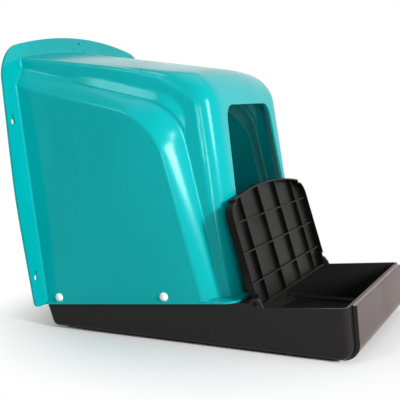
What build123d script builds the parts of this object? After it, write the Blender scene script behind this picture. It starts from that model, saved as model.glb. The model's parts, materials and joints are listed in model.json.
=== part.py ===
from build123d import *
import math
import os

# Wall-hung roll-out nest box: a moulded hood with a back flange, a sloped base tub
# that runs forward into an open collection tray, a hinged tray lid, and its fixings.
# Everything is drawn square to the level seam between hood and tub: X is the width,
# depth grows from the back flange (y = 0) to the front (-Y), and heights are taken
# from the seam. At the end the whole box is stood on its sloped foot.

os.makedirs("parts", exist_ok=True)

# Hood: overall
wall = 3.0                    # hood wall
hood_depth = 278.0            # back of the flange to the hood's front, at the seam
seam_half = 150.0             # half width of hood and tub at the seam
side_tilt = 3.3               # degrees, both sides open upwards
roof_slope = 17.8             # degrees, falling to the front
cut_past = 10.0               # how far cutting tools run past a face

# Hood: flat side panel, seen from the side
panel_back_top = 295.0
panel_front_lean = 11.0       # degrees
panel_corner = 40.0
panel_edge_round = 9.0

# Hood: bevelled band round the panel, up to the shoulder
band_rise = 21.0              # shoulder above the panel, at the back
band_run = 20.0               # how far the band reaches in across the width
band_front = 29.0             # shoulder ahead of the panel, at the seam
shoulder_front_lean = 13.1
shoulder_corner = 18.0
shoulder_edge_round = 16.0

# Hood: raised spine that carries the doorway
spine_ahead = 8.0             # spine ahead of the shoulder, at the seam
spine_rise = 14.0             # eaves above the shoulder, at the back
spine_arch = 14.5             # crown above the eaves, at the back
eave_slope = 16.8             # degrees
crown_slope = 12.3
spine_in_back = 18.0          # eaves in from the tilted sides
spine_in_front = 37.0
spine_in_foot = 8.8
spine_corner_back = 12.0
spine_corner_front = 46.0
spine_front_lean = 4.0
spine_front_round = 35.0

# Hood: doorway
door_brow = 5.0               # flat strip left over the opening
door_frame = 11.0             # flat strip left beside it, at the top
door_sill = 40.0
door_splay = 6.5              # degrees, sides open downwards
door_corner = 20.0

# Hood: mounting flange and seam lip
flange_thick = 3.0
flange_reach = 43.0           # past the half width at the seam
flange_reach_foot = 26.0
flange_knee = 150.0           # height where the flange sides turn upright
flange_knee_round = 220.0
flange_over = 20.0            # crown of the flange over that of the spine
flange_arch = 24.0
flange_corner = 38.0
flange_foot_round = 7.0
flange_root_round = 4.0       # where the side panels run into the flange
key_head_r = 4.0
key_slot_width = 4.0
key_slot_rise = 8.0
key_upper_height = 248.0
key_lower_height = 39.5
key_edge = 12.0               # from the flange's outer edge
crown_hole_r = 2.2
crown_hole_drop = 8.0         # below the flange's crown
crease_gap = 14.0             # each side of the crown hole
crease_width = 1.6
crease_height = 1.0
crease_length = 16.0
lip_proud = 3.5
lip_thick = 2.6
lip_corner = 20.0

# Base tub
tub_wall = 3.5
tub_back = 0.3                # depth of the back wall at the seam
tub_back_draft = 12.0         # degrees
tub_back_drop = 30.0          # seam to tub bottom, at the back plane
tray_run = 140.0              # tub's front ahead of the hood's
tub_edge_round = 8.0          # along the rims of both sides
tub_front_round = 16.0        # bottom to front
tub_back_round = 9.0          # bottom to back
floor_slope = 5.8             # degrees, falling to the front
rim_drop = 6.2                # tray rim below the seam
rim_step_run = 2.5
ear_run = 8.0                 # high rim ahead of the hinge
foot_height = 2.5
foot_in = 1.3                 # foot in from where the tub's rounds begin
foot_corner = 12.0
tongue_thick = 2.5
tongue_run = 12.0             # past the rivets, to the back and to the front
tongue_over = 4.0             # above the rivet clips
tongue_root = 12.0
seat_gap = 0.3

# Fixings between hood and tub
rivet_back = 23.8
rivet_front = 181.2
rivet_height = 8.9
rivet_head_r = 5.8
rivet_head_rim = 0.9
rivet_head_height = 3.2
rivet_shank_r = 3.0
rivet_tip = 5.0               # shank past its clip
rivet_hole_gap = 0.25
clip_r = 7.0
clip_thick = 2.2
clip_fit = 0.05
clip_slots = 4
clip_slot_width = 1.2
clip_slot_depth = 2.2

# Front panel of the tray
front_in = 18.0               # in from the half width at the seam
front_thick = 6.5
front_drop = 0.3              # below the tray rim
front_round = 20.0            # where it tucks under the tub
front_tuck = 12.0             # how far it tucks back
front_tuck_drop = 2.0         # below the tub's bottom
front_edge = 0.8
front_skin = 2.6
groove_width = 1.2            # between the tub and the panel's edge
groove_depth = 3.0
peg_r = 2.5
peg_gap = 0.2
peg_pitch = 80.0
peg_tip = 2.0                 # peg past the tub's front wall

# Lid and its hinge
lid_plate = 2.5
lid_skirt = 10.0              # depth of the skirt
lid_skirt_wall = 2.2
lid_side_gap = 0.5            # shut lid in from the tub's sides
lid_neck_gap = 1.0            # round the hinge ears
lid_arch = 14.5               # middle of the free edge past its corners
lid_corner = 20.0
brow_half = 128.0             # raised brow in the middle of the free edge
brow_rise = 4.0
rib_thick = 1.5
rib_height = 4.5              # above the plate
rib_pitch = 68.0              # upright ribs
cross_first = 29.0
cross_pitch = 38.5
cross_count = 3
hinge_ahead = 25.0            # hinge axis ahead of the hood's front
hinge_edge = 6.0              # hinge axis in from the lid's edge
hinge_r = 3.0
hinge_fit = 0.06
hinge_boss = 4.0
knuckle_r = 7.0
knuckle_thick = 5.8
closed_gap = 0.3              # shut lid above the rim
rest_gap = 0.6                # open lid off the hood's front

# Nest mat
mat_thick = 4.0
mat_gap = 0.6
mat_length = 242.0
mat_corner = 9.0
mat_slot_length = 28.0
mat_slot_width = 9.0
mat_pitch_x = 44.0
mat_pitch_y = 24.0
mat_border = 14.0
stud_r = 3.0
stud_gap = 0.3
stud_proud = 1.5
stud_inset = 8.0


def tan(degrees):
    return math.tan(math.radians(degrees))


def cos(degrees):
    return math.cos(math.radians(degrees))


def sin(degrees):
    return math.sin(math.radians(degrees))


# Hood heights and depths that follow from the values above.
shoulder_back_top = panel_back_top + band_rise
shoulder_front = hood_depth - spine_ahead
panel_front = shoulder_front - band_front
eave_back = shoulder_back_top + spine_rise
crown_back = eave_back + spine_arch
crown_front = crown_back - hood_depth * tan(crown_slope)
flange_half = seam_half + flange_reach
flange_half_foot = seam_half + flange_reach_foot
flange_crown = crown_back + flange_over
flange_eave = flange_crown - flange_arch

# Sketches in this plane read (depth, height) and look from the box's left side.
SIDE_VIEW = Plane(origin=(0, 0, 0), x_dir=(0, -1, 0), z_dir=(-1, 0, 0))


def left_side(inward):
    """The tilted plane of the left side, moved in from the outer face, facing out."""
    origin = (inward * cos(side_tilt) - seam_half, 0, inward * sin(side_tilt))
    return Plane(origin=origin, x_dir=(0, -1, 0), z_dir=(-cos(side_tilt), 0, -sin(side_tilt)))


def both_sides(left):
    return left + mirror(left, about=Plane.YZ)


def side_outline(past, top_at_back, front, lean, inset, corner):
    """Hood outline from the side: a falling top meets a leaning front in a round corner."""
    top = top_at_back - inset / cos(roof_slope)
    nose = front - inset / cos(lean)
    corner_height = (top - nose * tan(roof_slope)) / (1 - tan(roof_slope) * tan(lean))
    tip = (nose - corner_height * tan(lean), corner_height)
    outline = Polyline(
        (-past, -past),
        (nose + past * tan(lean), -past),
        tip,
        (-past, top + past * tan(roof_slope)),
        close=True,
    )
    face = make_face(outline)
    return fillet(face.vertices().sort_by_distance(tip)[0], corner)


def outline_edges(form, inward, past):
    """Edges of both outlines drawn on the side planes, bar those on the open back and bottom."""
    plane = left_side(inward)
    picked = []
    for edge in form.edges():
        middle = edge.center()
        flat = plane.to_local_coords(Vector(-abs(middle.X), middle.Y, middle.Z))
        if abs(flat.Z) < 0.01 and min(flat.X, flat.Y) > 0.01 - past:
            picked.append(edge)
    return picked


def shoulder_form(inset, past):
    """Wide lower form: two flat side panels, each with a bevelled band round it."""
    turn = math.degrees(math.atan2(band_run, band_rise))
    panel_inset = inset * tan(turn / 2)
    shoulder_plane = band_run + inset * tan((90 - turn) / 2)
    panel = left_side(inset) * side_outline(
        past, panel_back_top, panel_front, panel_front_lean, panel_inset, panel_corner
    )
    shoulder = left_side(shoulder_plane) * side_outline(
        past, shoulder_back_top, shoulder_front, shoulder_front_lean, inset, shoulder_corner
    )
    sections = [panel, shoulder, mirror(shoulder, about=Plane.YZ), mirror(panel, about=Plane.YZ)]
    form = loft(sections, ruled=True)
    form = fillet(outline_edges(form, shoulder_plane, past), shoulder_edge_round - inset)
    return fillet(outline_edges(form, inset, past), panel_edge_round - inset)


def spine_eave(depth):
    """Eave of the spine at a depth, as (half width, height)."""
    height = eave_back - depth * tan(eave_slope)
    inward = spine_in_back + (spine_in_front - spine_in_back) * depth / hood_depth
    return seam_half + height * tan(side_tilt) - inward, height


def spine_section(depth, past, inset):
    """Cross-section of the spine: nearly upright sides under a low arch."""
    half, eave = (size - inset for size in spine_eave(depth))
    crown = crown_back - depth * tan(crown_slope) - inset
    corner = spine_corner_back + (spine_corner_front - spine_corner_back) * depth / hood_depth - inset
    foot = seam_half - spine_in_foot - inset
    arch = ThreePointArc((-half, eave), (0, crown), (half, eave))
    sides = Polyline((half, eave), (foot, -past), (-foot, -past), (-half, eave))
    face = make_face([arch, sides])
    return Plane.XZ.offset(depth) * fillet(face.vertices().group_by(Axis.Y)[-1], corner)


def spine_form(inset, past):
    """Raised middle form: a tapering arch, cut by the leaning front and rounded there."""
    ends = [spine_section(depth, past, inset) for depth in (-past, hood_depth + cut_past)]
    arch = loft(ends, ruled=True)
    nose = hood_depth - inset / cos(spine_front_lean)
    low = -past - cut_past
    top = crown_back + cut_past
    keep = Polyline(
        (low, low),
        (nose - low * tan(spine_front_lean), low),
        (nose - top * tan(spine_front_lean), top),
        (low, top),
        close=True,
    )
    form = arch & extrude(SIDE_VIEW * make_face(keep), flange_half, both=True)
    front_edges = form.faces().sort_by(Axis.Y)[0].edges().sort_by(Axis.Z)[1:]
    return fillet(front_edges, spine_front_round - inset)


def flange_plate():
    """Flat back flange: arched top, round shoulders, sides drawn in towards the foot."""
    arch = ThreePointArc((-flange_half, flange_eave), (0, flange_crown), (flange_half, flange_eave))
    rest = Polyline(
        (flange_half, flange_eave),
        (flange_half, flange_knee),
        (flange_half_foot, 0),
        (-flange_half_foot, 0),
        (-flange_half, flange_knee),
        (-flange_half, flange_eave),
    )
    face = make_face([arch, rest])
    rows = face.vertices().group_by(Axis.Y)
    face = fillet(rows[-1], flange_corner)
    face = fillet([v for v in face.vertices() if abs(v.Y - flange_knee) < 0.01], flange_knee_round)
    face = fillet(face.vertices().group_by(Axis.Y)[0], flange_foot_round)
    return extrude(Plane.XZ * face, flange_thick)


def flange_edge(height):
    """Half width of the flange at a height."""
    if height >= flange_knee:
        return flange_half
    return flange_half_foot + (flange_half - flange_half_foot) * height / flange_knee


def key_positions():
    """Head holes of the four keyholes, as (x, height)."""
    for height in (key_lower_height, key_upper_height):
        for side in (-1, 1):
            yield side * (flange_edge(height) - key_edge), height


def keyhole():
    """Round head hole with a narrow slot above it."""
    slot = Pos(0, key_slot_rise / 2) * Rectangle(key_slot_width, key_slot_rise)
    return Circle(key_head_r) + slot + Pos(0, key_slot_rise) * Circle(key_slot_width / 2)


def crown_creases():
    """Two short raised creases beside the hole at the flange's crown."""
    height = flange_crown - crown_hole_drop - crease_length / 4
    bars = [Pos(s * crease_gap, height) * Rectangle(crease_width, crease_length) for s in (-1, 1)]
    return extrude(Plane.XZ * Sketch(bars), flange_thick + crease_height)


def seam_lip():
    """Thin ledge that the hood turns out along its lower edge."""
    depth = hood_depth + lip_proud
    plan = Pos(0, -depth / 2) * Rectangle(2 * (seam_half + lip_proud), depth)
    plan = fillet(plan.vertices().group_by(Axis.Y)[0], lip_corner)
    return extrude(plan, lip_thick)


def doorway():
    """Tall opening in the spine's front: round corners, a little wider at the sill."""
    top = crown_front - spine_front_round - door_brow
    half_top = spine_eave(hood_depth)[0] - spine_front_round - door_frame
    half_sill = half_top + (top - door_sill) * tan(door_splay)
    sill = [(-half_sill, door_sill), (half_sill, door_sill)]
    lintel = [(half_top, top), (-half_top, top)]
    face = make_face(Polyline(*sill, *lintel, close=True))
    face = fillet(face.vertices(), door_corner)
    start = hood_depth - top * tan(spine_front_lean) - spine_front_round
    return extrude(Plane.XZ.offset(start) * face, hood_depth + cut_past - start)


def rivet_axes():
    """Left-hand rivet seats on the side panel, z pointing out of the hood."""
    return [left_side(0) * Pos(depth, rivet_height) for depth in (rivet_back, rivet_front)]


def rivet_holes(first, last):
    """Clearance holes for both left rivets, between two distances in from the panel."""
    hole_r = rivet_shank_r + rivet_hole_gap
    drill = Pos(0, 0, -(first + last) / 2) * Cylinder(hole_r, last - first)
    return Part() + [seat * drill for seat in rivet_axes()]


def flange_roots(form):
    """Straight inner corners between the two side panels and the flange."""
    plane = left_side(0)
    roots = []
    for edge in form.edges():
        middle = edge.center()
        flat = plane.to_local_coords(Vector(-abs(middle.X), middle.Y, middle.Z))
        if abs(flat.Z) < 0.01 and abs(flat.X - flange_thick) < 0.01 and flat.Y > panel_corner:
            roots.append(edge)
    return roots


def make_hood():
    outer = shoulder_form(0, 0) + spine_form(0, 0) + flange_plate() + crown_creases() + seam_lip()
    outer = fillet(flange_roots(outer), flange_root_round)
    hood = outer - (shoulder_form(wall, cut_past) + spine_form(wall, cut_past)) - doorway()
    holes = [Pos(x, height) * keyhole() for x, height in key_positions()]
    holes.append(Pos(0, flange_crown - crown_hole_drop) * Circle(crown_hole_r))
    hood -= extrude(Plane.XZ.offset(-cut_past) * Sketch(holes), 2 * cut_past)
    return hood - both_sides(rivet_holes(-cut_past, wall + cut_past))


# The tub's bottom plane falls to the front; heights on it are taken from the foot's underside.
tub_front = hood_depth + tray_run
foot_back = tub_back + tub_back_drop * tan(tub_back_draft) + tub_back_round + foot_in
foot_front = tub_front - tub_front_round - foot_in
foot_middle = (foot_back + foot_front) / 2
foot_drop = tub_back_drop + foot_middle * tan(floor_slope) + foot_height / cos(floor_slope)
FLOOR = Plane(
    origin=(0, -foot_middle, -foot_drop),
    x_dir=(1, 0, 0),
    z_dir=(0, -sin(floor_slope), cos(floor_slope)),
)
foot_length = (foot_front - foot_back) / cos(floor_slope)
foot_half = seam_half - foot_drop * tan(side_tilt) - tub_edge_round - foot_in


def tub_form(inset, top):
    """Tapered trough: tilted sides, drafted back, sloped bottom, all corners rounded."""
    deep = foot_drop + tub_front * tan(floor_slope) + cut_past
    low_half = seam_half - inset - deep * tan(side_tilt)
    top_half = seam_half - inset + top * tan(side_tilt)
    section = Polyline((-low_half, -deep), (low_half, -deep), (top_half, top), (-top_half, top), close=True)
    trough = extrude(Plane.XZ * make_face(section), tub_front + cut_past)
    drop = tub_back_drop - inset / cos(floor_slope)
    back = tub_back + inset
    slant = tan(tub_back_draft)
    back_low = (back + slant * drop) / (1 - slant * tan(floor_slope))
    front = tub_front - inset
    low_back = (back_low, -drop - back_low * tan(floor_slope))
    low_front = (front, -drop - front * tan(floor_slope))
    side = make_face(Polyline((back - slant * top, top), (front, top), low_front, low_back, close=True))
    side = fillet(side.vertices().sort_by_distance(low_front)[0], tub_front_round - inset)
    side = fillet(side.vertices().sort_by_distance(low_back)[0], tub_back_round - inset)
    form = trough & extrude(SIDE_VIEW * side, seam_half + cut_past, both=True)
    flanks = form.faces().sort_by(Axis.X)
    rims = flanks[0].edges().sort_by(Axis.Z)[:-1] + flanks[-1].edges().sort_by(Axis.Z)[:-1]
    return fillet(rims, tub_edge_round - inset)


def floor_pad(half, length, corner, low, high):
    """Rounded slab lying on the sloped floor, between two heights above the foot's underside."""
    pad = extrude(RectangleRounded(2 * half, length, corner), high - low)
    return FLOOR * (Pos(0, 0, low) * pad)


def tongues():
    """Upright strips of the tub that stand inside the hood and take the rivets."""
    first = wall + seat_gap
    height = rivet_height + clip_r + tongue_over
    length = rivet_front - rivet_back + 2 * tongue_run
    middle = (rivet_front + rivet_back) / 2
    blade = Pos(middle, (height - tongue_root) / 2) * Rectangle(length, height + tongue_root)
    strip = extrude(left_side(first) * blade, -tongue_thick)
    joint = Pos(middle, -(tongue_root + seat_gap) / 2) * Rectangle(length, tongue_root - seat_gap)
    root = extrude(left_side(tub_wall / 2) * joint, tub_wall / 2 - first - tongue_thick)
    return both_sides(strip + root - rivet_holes(first - cut_past, first + tongue_thick + cut_past))


# Hinge and lid sizes that follow from the tub.
hinge_depth = hood_depth + hinge_ahead
hinge_height = closed_gap + lid_skirt / 2 - rim_drop
knuckle_inner = seam_half - knuckle_r * tan(side_tilt) - knuckle_thick
ear_front = hinge_depth + ear_run
lid_half = seam_half - lid_side_gap
lid_neck_half = knuckle_inner - lid_neck_gap
lid_neck = hinge_edge + ear_run + rim_step_run + lid_neck_gap
lid_side = tub_front + front_thick - hinge_depth + hinge_edge
lid_crown = lid_side + lid_arch
front_half = seam_half - front_in
front_top = -rim_drop - front_drop
front_low = tub_front_round + front_skin - tub_back_drop - tub_front * tan(floor_slope)
front_middle = (front_top + front_low) / 2


def knuckles():
    """Hinge ears: round eyes inside the side walls, at the back of the tray."""
    eye = Cylinder(knuckle_r, knuckle_thick, rotation=(0, 90, 0))
    middle = knuckle_inner + knuckle_thick / 2
    return both_sides(Pos(-middle, -hinge_depth, hinge_height) * eye)


def hinge_bores():
    return Pos(0, -hinge_depth, hinge_height) * Cylinder(
        hinge_r + hinge_fit, 2 * (seam_half + cut_past), rotation=(0, 90, 0)
    )


def rim_cut():
    """What is cleared above the tray's lower rim, with a sloped step at the ears."""
    outline = Polyline(
        (ear_front, cut_past),
        (ear_front, 0),
        (ear_front + rim_step_run, -rim_drop),
        (tub_front + cut_past, -rim_drop),
        (tub_front + cut_past, cut_past),
        close=True,
    )
    return extrude(SIDE_VIEW * make_face(outline), seam_half + cut_past, both=True)


def peg_places():
    """Pegs of the front panel, as points on the tub's front wall."""
    return [(x, front_middle) for x in (-peg_pitch, 0, peg_pitch)]


mat_half = foot_half - tub_wall - mat_gap
mat_back = foot_length / 2 - tub_wall - mat_gap
mat_middle = mat_back - mat_length / 2


def stud_places():
    """Locating studs under the mat's corners, in floor coordinates."""
    across = mat_half - stud_inset
    along = mat_length / 2 - stud_inset
    return [(sx * across, mat_middle + sy * along) for sx in (-1, 1) for sy in (-1, 1)]


def make_tub():
    outer = tub_form(0, 0) + floor_pad(foot_half, foot_length, foot_corner, 0, foot_height + tub_wall / 2)
    pocket = floor_pad(
        foot_half - tub_wall, foot_length - 2 * tub_wall, foot_corner - tub_wall,
        tub_wall, foot_height + tub_wall + cut_past,
    )
    tub = outer - tub_form(tub_wall, cut_past) - pocket
    tub = tub + tongues() - rim_cut() + knuckles() - hinge_bores()
    pegs = [Pos(x, height) * Circle(peg_r + peg_gap) for x, height in peg_places()]
    tub -= extrude(Plane.XZ.offset(tub_front - cut_past) * Sketch(pegs), 2 * cut_past)
    stud = extrude(Circle(stud_r), tub_wall / 2 + mat_thick + stud_proud)
    for x, along in stud_places():
        tub += FLOOR * (Pos(x, along, tub_wall / 2) * stud)
    return tub


def front_profile(ahead, below, corner):
    """Side view of the tray, grown ahead and below, with its round front corner."""
    back = hood_depth
    front = tub_front + ahead
    drop = tub_back_drop + below / cos(floor_slope)
    low_front = (front, -drop - front * tan(floor_slope))
    low_back = (back, -drop - back * tan(floor_slope))
    face = make_face(Polyline((back, front_top), (front, front_top), low_front, low_back, close=True))
    return fillet(face.vertices().sort_by_distance(low_front)[0], corner)


def front_wrap(gap, half):
    """Panel from a gap outside the tub to its own outer face, to a half width on both sides."""
    outside = front_profile(front_thick, front_tuck_drop, front_round)
    inside = front_profile(gap, gap, tub_front_round + gap)
    reach = front_thick + front_tuck
    keep = Pos(tub_front + front_thick - reach / 2) * Rectangle(reach, 2 * tub_front)
    return extrude(SIDE_VIEW * ((outside - inside) & keep), half, both=True)


def make_front_panel():
    """Moulded front cover of the tray, tucked under it: a shallow shell held by three pegs."""
    block = front_wrap(groove_width, front_half) + front_wrap(0, front_half - groove_depth)
    block = chamfer(block.faces().sort_by(Axis.Y)[0].edges().group_by(Axis.Z)[-1], front_edge)
    hollow = Rectangle(2 * (front_half - groove_depth - front_skin), front_top - front_low - front_skin)
    seat = Plane.XZ.offset(tub_front)
    middle = (front_top - front_skin + front_low) / 2
    block -= extrude(seat * (Pos(0, middle) * hollow), front_thick - front_skin)
    peg_length = front_thick - front_skin / 2 + tub_wall + peg_tip
    root = Plane.XZ.offset(tub_front + front_thick - front_skin / 2)
    for x, level in peg_places():
        block += extrude(root * (Pos(x, level) * Circle(peg_r)), -peg_length)
    return block


def lid_sheet():
    """Lid seen on its ribbed face, without the brow: narrow neck at the hinge, arched free edge."""
    arch = ThreePointArc((-lid_half, lid_side), (0, lid_crown), (lid_half, lid_side))
    rest = Polyline(
        (lid_half, lid_side),
        (lid_half, lid_neck),
        (lid_neck_half, lid_neck),
        (lid_neck_half, 0),
        (-lid_neck_half, 0),
        (-lid_neck_half, lid_neck),
        (-lid_half, lid_neck),
        (-lid_half, lid_side),
    )
    face = make_face([arch, rest])
    tips = [v for v in face.vertices() if abs(v.Y - lid_side) < 0.01]
    return fillet(tips, lid_corner)


def lid_brow(inset):
    """Raised middle stretch of the free edge, parallel to the arch."""
    radius = (lid_half ** 2 + lid_arch ** 2) / (2 * lid_arch)
    disc = Pos(0, lid_crown - radius) * Circle(radius + brow_rise - inset)
    return disc & (Pos(0, lid_crown) * Rectangle(2 * (brow_half - inset), 2 * lid_corner))


def lid_ribs():
    """Waffle of four upright ribs and the cross ribs, trimmed to the lid's outline."""
    bars = Sketch()
    for step in (-1.5, -0.5, 0.5, 1.5):
        bars += Pos(step * rib_pitch, lid_crown / 2) * Rectangle(rib_thick, lid_crown + 2 * brow_rise)
    for row in range(cross_count):
        bars += Pos(0, cross_first + row * cross_pitch) * Rectangle(2 * lid_half, rib_thick)
    return extrude(bars & (lid_sheet() + lid_brow(0)), lid_plate + rib_height)


def lid_trunnions():
    """Stub axles moulded on the neck's ends, each on a boss inside the skirt."""
    reach = knuckle_inner + knuckle_thick - lid_neck_half
    stub = Pos(-reach / 2, 0, 0) * Cylinder(hinge_r, reach, rotation=(0, 90, 0))
    boss = Pos(hinge_boss / 2, 0, 0) * Cylinder(lid_skirt / 2, hinge_boss, rotation=(0, 90, 0))
    axle = Pos(-lid_neck_half, hinge_edge, lid_skirt / 2) * (stub + boss)
    return both_sides(axle)


def rest_angle():
    """Degrees behind upright at which the open lid's brow comes to rest before the hood's front."""
    room = hinge_ahead * cos(spine_front_lean) + hinge_height * sin(spine_front_lean) - rest_gap
    reach = lid_crown + brow_rise - hinge_edge
    back = lid_skirt / 2
    swing = math.asin(room / math.hypot(reach, back)) - math.atan2(back, reach)
    return math.degrees(swing) + spine_front_lean


def lid_place(open_angle):
    """Lid frame: x across, y from hinge edge to free edge, z out of the ribbed face."""
    normal = Vector(0, -cos(open_angle), sin(open_angle))
    along = Vector(0, sin(open_angle), cos(open_angle))
    axis = Vector(0, -hinge_depth, hinge_height)
    origin = axis - along * hinge_edge - normal * (lid_skirt / 2)
    return Plane(origin=origin, x_dir=(1, 0, 0), z_dir=normal)


def make_lid():
    sheet = lid_sheet()
    hollow = offset(sheet, -lid_skirt_wall, kind=Kind.INTERSECTION) + lid_brow(lid_skirt_wall)
    lid = extrude(sheet + lid_brow(0), lid_skirt) - Pos(0, 0, lid_plate) * extrude(hollow, lid_skirt)
    lid = lid + lid_ribs() + lid_trunnions()
    return lid_place(rest_angle()) * lid


def make_mat():
    """Slotted mat that lies in the floor's pocket, over its four locating studs."""
    sheet = RectangleRounded(2 * mat_half, mat_length, mat_corner)
    columns = int((2 * (mat_half - mat_border)) // mat_pitch_x)
    rows = int((mat_length - 2 * mat_border) // mat_pitch_y)
    slot = Rectangle(mat_slot_length, mat_slot_width)
    sheet -= GridLocations(mat_pitch_x, mat_pitch_y, columns, rows) * slot
    places = [(x, along - mat_middle) for x, along in stud_places()]
    sheet -= Locations(*places) * Circle(stud_r + stud_gap)
    return FLOOR * (Pos(0, mat_middle, tub_wall) * extrude(sheet, mat_thick))


def make_rivet():
    """Push rivet: round cap with a bevel over a thin rim, on a plain shank."""
    through = wall + seat_gap + tongue_thick + clip_thick + rivet_tip
    cap = extrude(Circle(rivet_head_r), rivet_head_height)
    cap = chamfer(cap.edges().sort_by(Axis.Z)[-1], rivet_head_height - rivet_head_rim)
    return cap + extrude(Circle(rivet_shank_r), -through)


def make_clip():
    """Push-on clip: a ring with slots round its bore."""
    bore = rivet_shank_r + clip_fit
    ring = Circle(clip_r) - Circle(bore)
    slot = Pos(bore + clip_slot_depth / 2 - clip_fit) * Rectangle(clip_slot_depth, clip_slot_width)
    ring -= PolarLocations(0, clip_slots) * slot
    start = wall + seat_gap + tongue_thick + clip_thick
    return Pos(0, 0, -start) * extrude(ring, clip_thick)


pieces = {
    "hood_shell": make_hood(),
    "base_tub": make_tub(),
    "tray_front_panel": make_front_panel(),
    "tray_lid": make_lid(),
    "nest_mat": make_mat(),
}
for seat, place in zip(rivet_axes(), ("rear", "front")):
    left_rivet = seat * make_rivet()
    left_clip = seat * make_clip()
    pieces[f"rivet_left_{place}"] = left_rivet
    pieces[f"rivet_right_{place}"] = mirror(left_rivet, about=Plane.YZ)
    pieces[f"rivet_clip_left_{place}"] = left_clip
    pieces[f"rivet_clip_right_{place}"] = mirror(left_clip, about=Plane.YZ)

# Stand the box on its foot: the foot's middle becomes the origin and its underside is level.
stand = Rotation(-floor_slope, 0, 0) * Pos(0, foot_middle, foot_drop)
for name, piece in pieces.items():
    export_step(stand * piece, f"parts/{name}.step")
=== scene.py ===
import json
import math

import bmesh
import bpy
import numpy as np
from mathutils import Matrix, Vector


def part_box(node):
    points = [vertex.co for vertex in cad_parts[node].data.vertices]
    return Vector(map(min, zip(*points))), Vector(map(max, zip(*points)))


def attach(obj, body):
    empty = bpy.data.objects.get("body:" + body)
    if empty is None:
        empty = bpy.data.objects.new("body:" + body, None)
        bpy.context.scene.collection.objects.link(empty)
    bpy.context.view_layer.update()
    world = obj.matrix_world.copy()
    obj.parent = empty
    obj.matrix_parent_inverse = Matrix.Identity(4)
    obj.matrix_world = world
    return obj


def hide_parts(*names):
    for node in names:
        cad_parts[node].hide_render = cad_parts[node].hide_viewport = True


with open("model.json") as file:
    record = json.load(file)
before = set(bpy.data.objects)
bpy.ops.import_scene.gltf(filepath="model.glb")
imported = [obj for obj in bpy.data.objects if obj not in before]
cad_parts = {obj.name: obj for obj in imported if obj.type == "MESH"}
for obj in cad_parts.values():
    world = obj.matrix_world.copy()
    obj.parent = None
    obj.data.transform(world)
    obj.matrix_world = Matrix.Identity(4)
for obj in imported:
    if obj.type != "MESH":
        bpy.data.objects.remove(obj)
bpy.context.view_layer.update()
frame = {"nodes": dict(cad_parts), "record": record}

bl_info = {
    "name": "Roll-out nest box",
    "version": (1, 0, 0),
    "blender": (4, 5, 0),
    "location": "View3D > Sidebar > Nest box",
    "description": "Dresses the packed nest box: moulded hood, fixings, finishes and a plain studio",
    "category": "Object",
}

# The box is drawn square to the level seam between hood and tub: x runs across, depth
# forward from the wall and height up from the seam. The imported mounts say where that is.
MOUNTS = {mount["name"]: mount for mount in frame["record"]["mounts"]}
FLANGE_THICK = 0.003
FLANGE_REACH = 0.026  # past the tub's side, at the seam
KEY_LOW = 0.0395  # lower keyholes above the seam
ACROSS = np.array((1.0, 0.0, 0.0))
FORWARD = -np.array(MOUNTS["wall_flange"]["axis"])
UPWARD = np.cross(FORWARD, ACROSS)
SEAM = np.array(MOUNTS["lower_keyholes"]["pos_m"]) - FORWARD * FLANGE_THICK / 2 - UPWARD * KEY_LOW
SEAM_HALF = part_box("base_tub")[1].x
FLANGE_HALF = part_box("hood_shell")[1].x

HALVINGS = 34  # times a line is halved in the search for a surface
RAY = 0.6  # longer than any way from the start of such a search
WELD = 2e-6  # points nearer than this become one
SIDES = (("left", -1), ("right", 1))
PLACES = ("rear", "front")


def length(name, default, description):
    """A size in metres."""
    return bpy.props.FloatProperty(
        name=name, default=default, description=description, unit="LENGTH", precision=5
    )


def angle(name, degrees, description):
    """An angle, given in degrees."""
    return bpy.props.FloatProperty(
        name=name, default=math.radians(degrees), description=description, subtype="ANGLE"
    )


def share(name, default, description):
    """A share from 0 to 1."""
    return bpy.props.FloatProperty(
        name=name, default=default, description=description, min=0.0, max=1.0, subtype="FACTOR"
    )


def colour(name, default, description):
    """A colour, given as linear red, green and blue."""
    return bpy.props.FloatVectorProperty(
        name=name, default=(*default, 1.0), description=description,
        size=4, subtype="COLOR", min=0, max=1,
    )


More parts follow.
